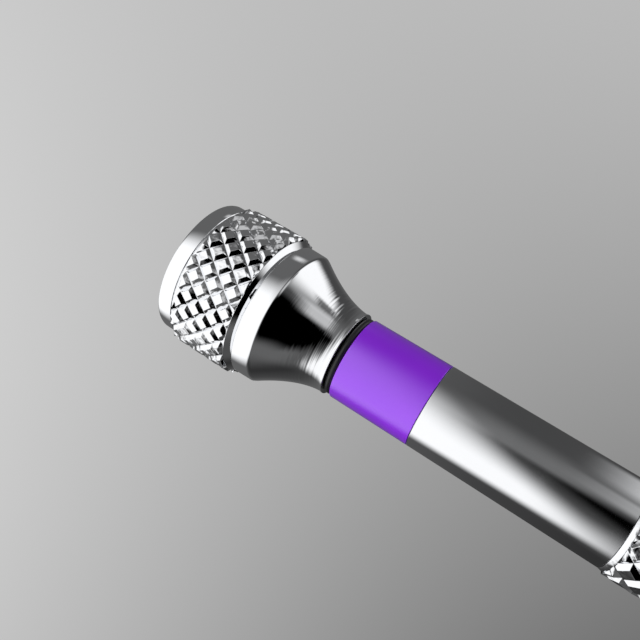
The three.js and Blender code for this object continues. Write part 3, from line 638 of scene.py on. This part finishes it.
# ---------------------------------------------------------------- grip sleeve
# A chromed brass sleeve pressed over the tube. Between a narrow chamfered shoulder at each
# end it is knurled by a coarser pair of wheels than the knob, with grooves nearly 2 mm apart.
GRIP_ROOT = TUBE_RADIUS - 0.1 * MM
GRIP_CREST = GRIP_HIGH.x - GRIP_ROOT
GRIP_KNURL_BOTTOM = GRIP_LOW.z + 0.5 * MM
GRIP_KNURL_TOP = GRIP_HIGH.z - 0.5 * MM
SHOULDER_RADIUS = TUBE_RADIUS + 0.12 * MM
SLEEVE_RADIUS = GRIP_ROOT - 0.25 * MM
sleeve = turned("grip_body", [
    (SLEEVE_BORE, GRIP_LOW.z),
    (TUBE_RADIUS, GRIP_LOW.z),
    (SHOULDER_RADIUS, GRIP_KNURL_BOTTOM),
    (SLEEVE_RADIUS, GRIP_KNURL_BOTTOM),
    (SLEEVE_RADIUS, GRIP_KNURL_TOP),
    (SHOULDER_RADIUS, GRIP_KNURL_TOP),
    (TUBE_RADIUS, GRIP_HIGH.z),
    (SLEEVE_BORE, GRIP_HIGH.z),
    (SLEEVE_BORE, GRIP_LOW.z),
], edge=0.03)
dress(sleeve, knurl_chrome, "handle", "chrome_plate")
grip_knurl = knurl(
    "grip_knurl", GRIP_ROOT, GRIP_CREST, GRIP_KNURL_BOTTOM, GRIP_KNURL_TOP,
    starts=(10, 12), leads=(0.38, 0.32))
ease_edges(grip_knurl, 0.04, 2, angle=12)
smooth_faces(grip_knurl, 30)
dress(grip_knurl, knurl_chrome, "handle", "chrome_plate", "grip_sleeve")

# ---------------------------------------------------------------- drive inside the handle
# A turned steel spindle, held to the knob by one slotted screw, runs in a brass bush. Its
# thread lifts a brass nut with a long steel rod. All of it is hidden when assembled.
def machined(name, light, dark, tint_mix=0.5, soft=0.2, lathe_pitch=0.09):
    """Bare turned metal: fine tool lines round the axis, stains and a duller skin in spots."""
    finish = bpy.data.materials.new(name)
    finish.use_nodes = True
    tree = finish.node_tree
    tree.nodes.clear()
    place = node(tree, "ShaderNodeTexCoord").at("Object")
    stain = node(tree, "ShaderNodeTexNoise", None, place, Scale=340.0, Detail=5.0)
    lines_place = node(
        tree, "ShaderNodeMapping", None, place, Scale=(80.0, 80.0, 1000 / lathe_pitch))
    lines = node(tree, "ShaderNodeTexNoise", None, lines_place, Scale=1.0, Detail=2.0)
    patch = stain.ramp(0.38, 0.7)
    shade = node(
        tree, "ShaderNodeMix", {"data_type": "RGBA"},
        **{"Factor": patch * tint_mix + lines * 0.3, "A": (*light, 1), "B": (*dark, 1)})
    bump = node(
        tree, "ShaderNodeBump", None, Strength=0.5, Distance=0.00002, Height=lines)
    surface = node(
        tree, "ShaderNodeBsdfPrincipled", None,
        **{"Base Color": shade, "Metallic": 1.0, "Normal": bump,
           "Roughness": soft + 0.12 * lines + 0.14 * patch})
    node(tree, "ShaderNodeOutputMaterial", None, Surface=surface)
    return finish


def refinish(node_name, finish):
    """A CAD node whose shape is right keeps it, and takes a finer material."""
    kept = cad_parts[node_name]
    kept.data.materials.clear()
    kept.data.materials.append(finish)


turned_steel = machined("turned_steel", (0.62, 0.63, 0.65), (0.36, 0.36, 0.37))
turned_brass = machined("turned_brass", (0.83, 0.62, 0.27), (0.45, 0.3, 0.11), soft=0.22)
for name in ("knob_screw", "drive_screw", "lift_rod", "yoke_screw"):
    refinish(name, turned_steel)
for name in ("thrust_washer", "spindle_bush", "lift_nut"):
    refinish(name, turned_brass)

# ---------------------------------------------------------------- head collar
# Turned brass, chromed. A short plain barrel pushes into the tube's top end, and a flare
# spreads the load under the guard plate. Its boss is pressed into the plate's middle hole.
COLLAR_LOW, COLLAR_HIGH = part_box("head_collar")
PLATE_LOW, PLATE_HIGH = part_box("base_plate")
COLLAR_FOOT = GRIP_HIGH.z + 0.05 * MM
FLANGE_TOP = PLATE_LOW.z - 0.02 * MM
FLANGE_BOTTOM = FLANGE_TOP - 1.2 * MM
FLARE_START = COLLAR_FOOT + 2.88 * MM
WAIST_RADIUS = TUBE_RADIUS - 0.4 * MM
ROD_HOLE = 1.6 * MM
COLLAR_SPIGOT = 3.2 * MM
COLLAR_BOSS = 3.4 * MM
FLARE_STEPS = 32
flare = []
for step in range(0, FLARE_STEPS + 1):
    along = step / FLARE_STEPS
    flare.append((
        WAIST_RADIUS + (COLLAR_HIGH.x - WAIST_RADIUS) * along ** 2,
        FLARE_START + (FLANGE_BOTTOM - FLARE_START) * along))
collar = turned("collar", [
    (ROD_HOLE, COLLAR_LOW.z),
    (COLLAR_SPIGOT, COLLAR_LOW.z),
    (COLLAR_SPIGOT, COLLAR_FOOT),
    (TUBE_RADIUS, COLLAR_FOOT),
    (TUBE_RADIUS, COLLAR_FOOT + 0.75 * MM),
    (TUBE_RADIUS - 0.2 * MM, COLLAR_FOOT + 0.95 * MM),
    (TUBE_RADIUS - 0.2 * MM, COLLAR_FOOT + 1.25 * MM),
    (TUBE_RADIUS, COLLAR_FOOT + 1.45 * MM),
    (TUBE_RADIUS, COLLAR_FOOT + 1.92 * MM),
    *flare,
    (COLLAR_HIGH.x, FLANGE_TOP),
    (COLLAR_BOSS, FLANGE_TOP),
    (COLLAR_BOSS, COLLAR_HIGH.z),
    (ROD_HOLE, COLLAR_HIGH.z),
    (ROD_HOLE, COLLAR_LOW.z),
], edge=0.05)
dress(collar, chrome("collar_chrome", marks=0.3), "handle", "chrome_plate", "head_collar")


# ---------------------------------------------------------------- guard plate
# Brass strip, blanked, pierced and folded, then chromed. It has a safety lip and a row of
# drain slots along each side, and two ledges that carry the blade's edges.
def reworked(node_name, name, width, steps):
    """A copy of a CAD node's mesh, merged to plain faces, with its edges eased."""
    fresh()
    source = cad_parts[node_name]
    piece = bpy.data.objects.new(name, source.data.copy())
    bpy.context.scene.collection.objects.link(piece)
    piece.select_set(True)
    bpy.context.view_layer.objects.active = piece
    bpy.ops.object.mode_set(mode="EDIT")
    bpy.ops.mesh.select_mode(type="VERT")
    bpy.ops.mesh.select_all(action="SELECT")
    bpy.ops.mesh.remove_doubles(threshold=1e-6)
    bpy.ops.mesh.dissolve_limited(angle_limit=math.radians(0.5))
    bpy.ops.object.mode_set(mode="OBJECT")
    ease_edges(piece, width, steps)
    smooth_faces(piece, 38)
    return piece


plate_chrome = chrome("plate_chrome", soft=0.02)
plate = reworked("base_plate", "guard_plate", 0.14, 3)
dress(plate, plate_chrome, "handle", "chrome_plate", "base_plate")

# ---------------------------------------------------------------- blade bar
# A folded channel of chromed brass, open side down. The blade lies on its back, located by
# the ends of two steel studs that also tie the bar to the plate.
bar = reworked("blade_bar", "blade_seat", 0.16, 3)
dress(bar, plate_chrome, "handle", "chrome_plate", "blade_bar")
pin_steel = machined("pin_steel", (0.68, 0.69, 0.71), (0.46, 0.46, 0.47), soft=0.14)


def headed_pin(name, shank, head, head_height, length, dome):
    """A pin along Z with its head at the bottom: a domed head and a chamfered tip."""
    return turned(name, [
        (0, 0),
        (head * 0.45, dome * 0.1),
        (head * 0.8, dome * 0.42),
        (head, dome),
        (head, head_height),
        (shank, head_height),
        (shank, length - shank * 0.35),
        (shank * 0.6, length),
        (0, length),
    ], steps=48, edge=0.03, edge_steps=2)


STUD_RADIUS = 1.0 * MM
for name in ("blade_stud_left", "blade_stud_right"):
    stud_low, stud_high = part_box(name)
    stud = headed_pin(
        name + "_pin", STUD_RADIUS, (stud_high.x - stud_low.x) / 2, 0.7 * MM,
        stud_high.z - stud_low.z, 0.25 * MM)
    stud.data.transform(Matrix.Translation(((stud_low.x + stud_high.x) / 2, 0, stud_low.z)))
    dress(stud, pin_steel, "handle", "bare_steel", name)

# ---------------------------------------------------------------- end brackets
# Pressed brass angles, chromed. A foot is riveted under each end of the plate, and the
# upright, with two round lugs, carries the doors' hinge pins.
RIVET_RADIUS = 0.6 * MM
HINGE_RADIUS = 0.5 * MM
for side in ("left", "right"):
    bracket = reworked("end_bracket_" + side, "bracket_" + side, 0.12, 3)
    dress(bracket, plate_chrome, "handle", "chrome_plate", "end_bracket_" + side)
    for place in ("back", "front"):
        name = f"bracket_rivet_{side}_{place}"
        low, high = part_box(name)
        middle = (low + high) / 2
        rivet = headed_pin(
            name + "_pin", RIVET_RADIUS, (high.x - low.x) / 2, 0.4 * MM,
            high.z - low.z, 0.26 * MM)
        rivet.data.transform(Matrix.Translation((middle.x, middle.y, low.z)))
        dress(rivet, pin_steel, "handle", "bare_steel", name)
        name = f"hinge_pin_{side}_{place}"
        low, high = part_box(name)
        middle = (low + high) / 2
        hinge = headed_pin(
            name + "_pin", HINGE_RADIUS, (high.z - low.z) / 2, 0.35 * MM,
            high.x - low.x, 0.2 * MM)
        quarter = Matrix.Rotation(math.radians(90 if side == "left" else -90), 4, "Y")
        outer = low.x if side == "left" else high.x
        hinge.data.transform(Matrix.Translation((outer, middle.y, middle.z)) @ quarter)
        dress(hinge, pin_steel, "handle", "bare_steel", name)

# ---------------------------------------------------------------- lift yoke
# A folded steel strip on top of the lift rod, held by a slotted screw. An arm at each
# corner carries a short pin that runs in the slot of a door's ear.
yoke = reworked("lift_yoke", "yoke", 0.07, 2)
dress(yoke, pin_steel, "lifter", "bare_steel", "lift_yoke")
for side in ("left", "right"):
    for place in ("back", "front"):
        name = f"lift_pin_{side}_{place}"
        low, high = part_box(name)
        middle = (low + high) / 2
        pin = turned(name + "_bar", [
            (0, 0),
            (HINGE_RADIUS * 0.7, 0),
            (HINGE_RADIUS, 0.15 * MM),
            (HINGE_RADIUS, high.x - low.x - 0.15 * MM),
            (HINGE_RADIUS * 0.7, high.x - low.x),
            (0, high.x - low.x),
        ], steps=40, edge=0)
        quarter = Matrix.Rotation(math.radians(90), 4, "Y")
        pin.data.transform(Matrix.Translation((low.x, middle.y, middle.z)) @ quarter)
        dress(pin, pin_steel, "lifter", "bare_steel", name)

# ---------------------------------------------------------------- doors
# The arched cap is two pressed brass doors, polished and chromed. Each has an ear at both
# ends that turns on a hinge pin, and a curved slot that the lift pin pushes along.
door_chrome = chrome("door_chrome", soft=0.01)
for side in ("front", "back"):
    door = reworked("door_" + side, "cap_" + side, 0.13, 3)
    dress(door, door_chrome, "door_" + side, "chrome_plate", "door_" + side)

# ---------------------------------------------------------------- bounds
low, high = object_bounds()
